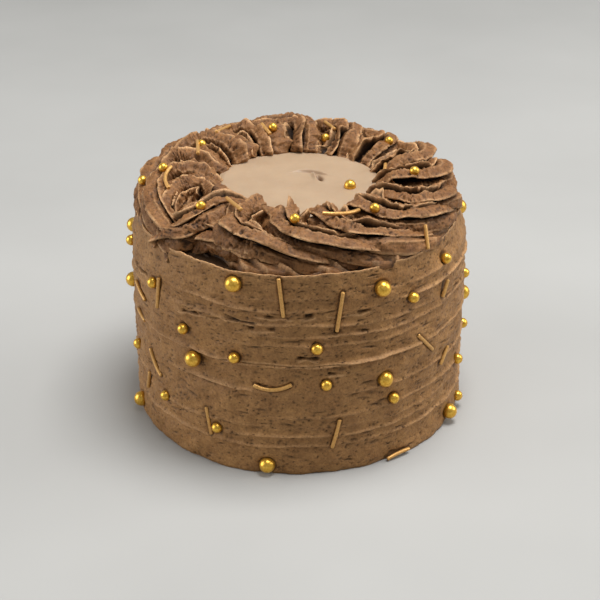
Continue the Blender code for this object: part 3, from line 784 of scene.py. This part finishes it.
def strokePath(azimuth, height, sweep, inner, drop):
    # it climbs from the disc to the crest and sinks towards the rim: the radius grows as
    # the sine of a quarter turn and the way round as one less its cosine, squared, so it
    # goes straight out at first and then along the rim
    t = np.linspace(0, 1, border["along"])
    angle = t * math.pi / 2
    toRight = max(0.0, math.cos(azimuth + 0.6 * sweep))
    outer = border["outer"] - border["narrower"] * toRight
    radius = inner + (outer - inner) * np.sin(angle) ** border["roundness"]
    around = azimuth + sweep * (1 - np.cos(angle)) ** border["bend"]
    z = height - border["outerDrop"] * (1 - np.cos(angle)) ** 2
    z = z - drop * np.clip(1 - t / border["startShare"], 0, 1) ** 2
    tucked = easeStep(border["tuckFrom"], 1.0, t)  # the end goes in under the next stroke
    radius = radius - border["tuckIn"] * tucked
    z = z - border["tuckDown"] * tucked
    return ringsAt(around, radius, z)


def throughPoints(points, count):
    # a smooth curve through the points: a cubic between each two, with the slope at a
    # point taken from its neighbours
    points = np.array(points, float) * mm
    slope = np.gradient(points, axis=0)
    s = np.linspace(0, len(points) - 1, count)
    i = np.minimum(s.astype(int), len(points) - 2)
    u = (s - i)[:, None]
    return ((2 * u ** 3 - 3 * u ** 2 + 1) * points[i] + (u ** 3 - 2 * u ** 2 + u) * slope[i]
            + (3 * u ** 2 - 2 * u ** 3) * points[i + 1] + (u ** 3 - u ** 2) * slope[i + 1])


def buildBorder(material):
    pieces = []
    draw = random.Random(border["seed"])
    t = np.linspace(0, 1, border["along"])
    for i in range(border["strokes"]):
        azimuth = border["first"] + border["step"] * i
        azimuth += draw.uniform(-border["jitter"], border["jitter"])
        height = border["height"] + (border["lift"][i] + draw.uniform(-0.4, 0.4)) * mm
        sweep = border["sweep"] * draw.uniform(0.93, 1.07)
        thickness = taper(t, border["strand"] * draw.uniform(0.97, 1.03), border["tip"])
        inner = border["inner"] + draw.uniform(-1, 1) * border["startJitter"]
        front = easeStep(0.2, 0.8, -math.sin(azimuth))  # in front they start higher
        drop = border["startDrop"] * (1 - front) + border["frontDrop"] * front
        path = strokePath(azimuth, height, sweep, inner, drop)
        twist = 0.0
        if i == 0:  # the tail of the swirl lies over the first one
            path = throughPoints(border["firstStroke"][0], border["along"])
            thickness = taper(t, border["firstStroke"][1] * mm, border["tip"])
            twist = border["firstTwist"]
        name = f"swirl{i + 1:02d}"
        pieces.append(sweptStrand(name, path, thickness, 1000 + 100 * i, material, twist))
    for i, name in enumerate(("curl", "innerCurl", "tail")):
        points, size = border[name]
        path = throughPoints(points, border["along"])
        thickness = taper(t, size * mm, border["tip"])
        twist = border["tailTwist"] if name == "tail" else 0.0
        pieces.append(sweptStrand(name, path, thickness, 4000 + 100 * i, material, twist))
    pieces.append(borderCore(material))
    print("border piped")
    return pieces


def borderCore(material):
    # a crowned ring under the strokes: its section runs over the crown and back along the
    # base; its top is combed into slanting ridges the way the strokes run out to the rim,
    # pressed in at the hollows, and cut back along the trench at the front left
    columns, rows, under = border["coreColumns"], border["crownRows"], border["baseRows"]
    over = np.linspace(0, 1, rows)
    across = np.concatenate([over, np.linspace(1, 0, under)])
    inner, outer = border["coreInner"], border["coreOuter"]
    crown = border["coreInnerEdge"] * (1 - over) + border["coreOuterEdge"] * over
    crown = crown + border["coreCrown"] * np.sin(math.pi * over)
    z = np.concatenate([crown, np.full(under, border["base"])])
    turn, across = np.meshgrid(np.arange(columns) / columns, across)
    z = np.repeat(z[:, None], columns, axis=1)
    lumps = roughNoise(turn, across, (90, 12), 77, 4, 0.7)
    wander = softNoise(turn, across, (30, 3), 79)
    combed = (border["combRidges"] * turn - border["combSlant"] * across + 0.35 * wander) % 1.0
    proud = easeStep(0.0, 0.15, combed) * (1 - combed) ** 1.3
    z[:rows] += mm * (0.35 * lumps + border["combHeight"] * (proud - 0.35))[:rows]
    radius = inner + (outer - inner) * across
    degrees = turn * 360 - 180
    middle = 0.5 * (border["trenchFrom"] + border["trenchTo"])
    half = 0.5 * (border["trenchTo"] - border["trenchFrom"])
    trench = border["trench"] * easeStep(1.0, 0.7, np.abs(degrees - middle) / half)
    edge = 0.9 * mm * roughNoise(turn, 0 * across, (24, 3), 78, 3) - trench
    edge -= leanIn(turn - 0.25, side["height"])
    radius += edge * easeStep(0.5, 1, across)
    angle = turn * 2 * math.pi - math.pi
    rings = ringsAt(angle, radius, z)
    hollow = np.zeros_like(z)
    for x, y, size, depth in border["hollows"]:
        away = np.hypot(rings[:rows, :, 0] / mm - x, rings[:rows, :, 1] / mm - y) / size
        rings[:rows, :, 2] -= depth * mm * np.exp(-away ** 4)
        hollow[:rows] = np.maximum(hollow[:rows], np.exp(-away ** 4))
    # painted shade in low lumps, in the dips between combed ridges and in the hollows, and a
    # painted highlight along each combed crest
    shade = np.clip(0.1 - 0.25 * lumps + 0.5 * easeStep(0.5, 1.0, combed), 0, 0.6)
    shade = np.maximum(shade, 0.9 * hollow)
    values = {"lip": 0.5 * bell(combed, 0.15, 0.08), "creaseShade": shade}
    piece = buildPiece("borderCore", rings, None, material, values)
    return dress(piece, "piped_border")


# Pale disc in the middle

disc = {
    "solidRadius": 40.0 * mm, "radius": 39.0 * mm, "top": 112.2 * mm, "base": 102.3 * mm,
    "columns": 420, "rows": 150,
    "wave": 0.22 * mm, "edgeDrop": 0.7 * mm, "uneven": 0.014,
    "scar": (9.0 * mm, 9.5 * mm),
    # heights in millimetres of the scar's parts
    "ridge": 0.9, "groove": 0.5, "beak": 1.7, "pit": 3.0,
}


def buildDisc(material):
    # a flat round slab: its top is level but for knife waves and a small pulled scar, which
    # is an arched ridge with a groove along it, and a beak of icing drawn up by a deep pit
    turn, out = np.meshgrid(np.arange(disc["columns"]) / disc["columns"],
                            np.linspace(0.02, 1, disc["rows"]))
    angle = turn * 2 * math.pi
    uneven = disc["uneven"] * roughNoise(turn, 0 * turn, (26, 1), 64, 3)
    radius = disc["radius"] * out * (1 + uneven * easeStep(0.8, 1, out))
    x, y = radius * np.cos(angle), radius * np.sin(angle)
    z = disc["top"] - disc["edgeDrop"] * easeStep(0.9, 1.0, out) ** 2
    z = z + disc["wave"] * roughNoise(turn, out, (5, 3), 61, 3) * easeStep(0, 0.25, out)
    scarX, scarY = disc["scar"]
    dx, dy = (x - scarX) / mm, (y - scarY) / mm
    arc = dy - 3.0 + 0.03 * (dx + 7) ** 2
    ridge = np.exp(-(arc / 0.7) ** 2 - ((dx + 4.0) / 8.5) ** 4)
    groove = np.exp(-((arc + 1.3) / 0.7) ** 2 - ((dx + 2.0) / 6.0) ** 4)
    pit = np.exp(-((dx - 0.7 + 0.3 * (dy + 5.0)) / 1.2) ** 2 - ((dy + 5.0) / 2.8) ** 2)
    beak = np.exp(-((dx + 1.5 + 0.2 * (dy + 4.0)) / 1.0) ** 2 - ((dy + 3.5) / 3.8) ** 2)
    z = z + mm * (disc["ridge"] * ridge - disc["groove"] * groove + disc["beak"] * beak
                  - disc["pit"] * pit)
    rings = np.stack([x, y, z], -1)
    wall = rings[-1].copy()
    wall[:, 2] = disc["base"]
    rings = np.concatenate([rings, wall[None]])
    # painted shade in the scar's pit and groove
    creaseShade = np.pad(np.clip(1.3 * pit + 0.5 * groove, 0, 1), [(0, 1), (0, 0)])
    poles = [(0, 0, rings[0, :, 2].mean()), (0, 0, disc["base"])]
    piece = buildPiece("paleDisc", rings, poles, material, {"creaseShade": creaseShade})
    print("disc levelled")
    return dress(piece, "centre_icing")


# Gold pearls and rods

def joinGrids(name, grids, material, node):
    # many small closed grids of one shape, with their poles, made into one mesh
    points, quads, fans, start = [], [], [], 0
    for rings, poles in grids:
        rows, columns = rings.shape[:2]
        moreQuads, moreFans = gridFaces(rows, columns, start)
        points += [rings.reshape(-1, 3), np.array(poles)]
        quads.append(moreQuads)
        fans.append(moreFans)
        start += rows * columns + 2
    mesh = makeMesh(name, *(np.vstack(parts) for parts in (points, quads, fans)), material)
    return dress(addObject(name, mesh), node)


def pearlGrid(centre, radius, seed):
    # a sphere by latitude and longitude, very slightly out of round
    draw = np.random.default_rng(seed)
    columns = sprinkles["pearlColumns"]
    latitude = np.linspace(-math.pi / 2, math.pi / 2, sprinkles["pearlRows"])[1:-1]
    longitude = np.arange(columns) * 2 * math.pi / columns
    longitude, latitude = np.meshgrid(longitude, latitude)
    size = radius * (1 + draw.uniform(-0.03, 0.03, 3))
    rings = np.stack([size[0] * np.cos(latitude) * np.cos(longitude),
                      size[1] * np.cos(latitude) * np.sin(longitude),
                      size[2] * np.sin(latitude)], -1)
    poles = np.array([[0, 0, -size[2]], [0, 0, size[2]]])
    return rings + centre, poles + centre


def rodGrid(path, radius):
    # a round rod along the path, its ends cut nearly flat with a small round
    ahead = np.gradient(path, axis=0)
    ahead /= np.linalg.norm(ahead, axis=1, keepdims=True)
    helper = np.array([0.31, 0.17, 0.93])
    across = np.cross(ahead, helper)
    across /= np.linalg.norm(across, axis=1, keepdims=True)
    other = np.cross(ahead, across)
    columns = sprinkles["rodColumns"]
    angle = np.arange(columns) * 2 * math.pi / columns
    circle = np.cos(angle)[None, :, None] * across[:, None]
    circle = circle + np.sin(angle)[None, :, None] * other[:, None]
    body = path[:, None] + radius * circle
    ends = []
    for i, sign in ((0, -1), (-1, 1)):
        for scale, reach in ((0.97, 0.12), (0.85, 0.26), (0.6, 0.34)):
            ends.append(path[i] + radius * scale * circle[i] + sign * radius * reach * ahead[i])
    rings = np.concatenate([np.stack(ends[2::-1]), body, np.stack(ends[3:])])
    poles = [path[0] - 0.36 * radius * ahead[0], path[-1] + 0.36 * radius * ahead[-1]]
    return rings, poles


def onSide(degrees, height, radius):
    angle = np.radians(np.asarray(degrees) - 90.0)
    radius = radius - leanIn(np.asarray(degrees) / 360, height)
    return ringsAt(angle, radius, height + 0.0 * angle)


def sideRodPath(startDegrees, startHeight, endDegrees, endHeight, sag):
    t = np.linspace(0, 1, 12)
    height = startHeight + (endHeight - startHeight) * t - 4 * sag * t * (1 - t)
    degrees = startDegrees + (endDegrees - startDegrees) * t
    return onSide(degrees, height, sprinkles["cakeRadius"] + sprinkles["rodProud"])


def surfaceHeight(cloud, x, y):
    # the highest point of the border near a place, never below the disc beside it
    near = np.hypot(cloud[:, 0] - x, cloud[:, 1] - y) < 0.8 * mm
    height = float(cloud[near, 2].max(initial=0.0))
    if math.hypot(x, y) < disc["solidRadius"] + 2 * sprinkles["smallRadius"]:
        height = max(height, disc["top"] + sprinkles["smallRadius"])
    return height


def borderRodPath(cloud, x0, y0, x1, y1, bend, rise=0.0):
    # a rod laid on the crests along their slope, or rising more or less than that
    t = np.linspace(0, 1, 7)
    heights = np.array([surfaceHeight(cloud, x0 + (x1 - x0) * s, y0 + (y1 - y0) * s) for s in t])
    slope = (heights[4:].sum() - heights[:3].sum()) / 4 + rise
    slope = float(np.clip(slope, -sprinkles["rodSlope"], sprinkles["rodSlope"]))
    start = (heights - slope * t).max() - sprinkles["rodSunk"] * sprinkles["rodRadius"]
    t = np.linspace(0, 1, 10)
    aside = 4 * bend * t * (1 - t) / math.hypot(x1 - x0, y1 - y0)
    return np.stack([x0 + (x1 - x0) * t + (y0 - y1) * aside,
                     y0 + (y1 - y0) * t + (x1 - x0) * aside, start + slope * t], -1)


def buildSprinkles(pearlGold, rodGold, borderPieces):
    large, small, rods = sidePlaces()
    centreRadius = sprinkles["cakeRadius"] + sprinkles["pearlProud"]
    for name, places, radius, seed in (("largePearls", large, sprinkles["largeRadius"], 300),
                                       ("smallPearls", small, sprinkles["smallRadius"], 400)):
        grids = [pearlGrid(onSide(d, h, centreRadius), radius, seed + i)
                 for i, (d, h) in enumerate(places)]
        joinGrids(name, grids, pearlGold, "cake_body")
    grids = [rodGrid(sideRodPath(*rod), sprinkles["rodRadius"]) for rod in rods]
    joinGrids("sideRods", grids, rodGold, "cake_body")
    cloud = []
    for piece in borderPieces:
        points = np.empty(len(piece.data.vertices) * 3, np.float32)
        piece.data.vertices.foreach_get("co", points)
        cloud.append(points.reshape(-1, 3))
    cloud = np.vstack(cloud)
    grids = []
    radius = sprinkles["borderRadius"]
    for i, (x, y) in enumerate(sprinkles["pearlsOnBorder"]):
        z = surfaceHeight(cloud, x * mm, y * mm) + sprinkles["pearlSunk"] * radius
        grids.append(pearlGrid(np.array([x * mm, y * mm, z]), radius, 500 + i))
    joinGrids("borderPearls", grids, pearlGold, "piped_border")
    grids = []
    for ends in sprinkles["rodsOnBorder"]:
        path = borderRodPath(cloud, *(value * mm for value in ends))
        grids.append(rodGrid(path, sprinkles["rodRadius"]))
    joinGrids("borderRods", grids, rodGold, "piped_border")
    x, y = sprinkles["pearlOnDisc"]
    grid = pearlGrid(np.array([x * mm, y * mm, disc["top"] + sprinkles["discPearlRise"]]),
                     sprinkles["discPearlRadius"], 600)
    joinGrids("discPearl", [grid], pearlGold, "centre_icing")
    print("sprinkles scattered")


# The whole scene

addStudio()
sideIcing = chocolateButtercream("combedChocolateButtercream", "#835d36", "#a3794a",
                                 tearFlatness=2.8, tearAmount=0.335, speck=0.72)
swirlIcing = chocolateButtercream("pipedChocolateButtercream", "#674325", "#8d633b",
                                  tearFlatness=1.0, tearAmount=0.30, speck=0.46)
buildSide(sideIcing)
swirls = buildBorder(swirlIcing)
buildDisc(paleButtercream())
pearlGold = goldLustre("goldPearlLustre", "#cf9730", "#f8ca5a", metal=0.85, roughness=0.29)
rodGold = goldLustre("goldRodLustre", "#bd8a48", "#d8a863", metal=0.5, roughness=0.36)
buildSprinkles(pearlGold, rodGold, swirls)
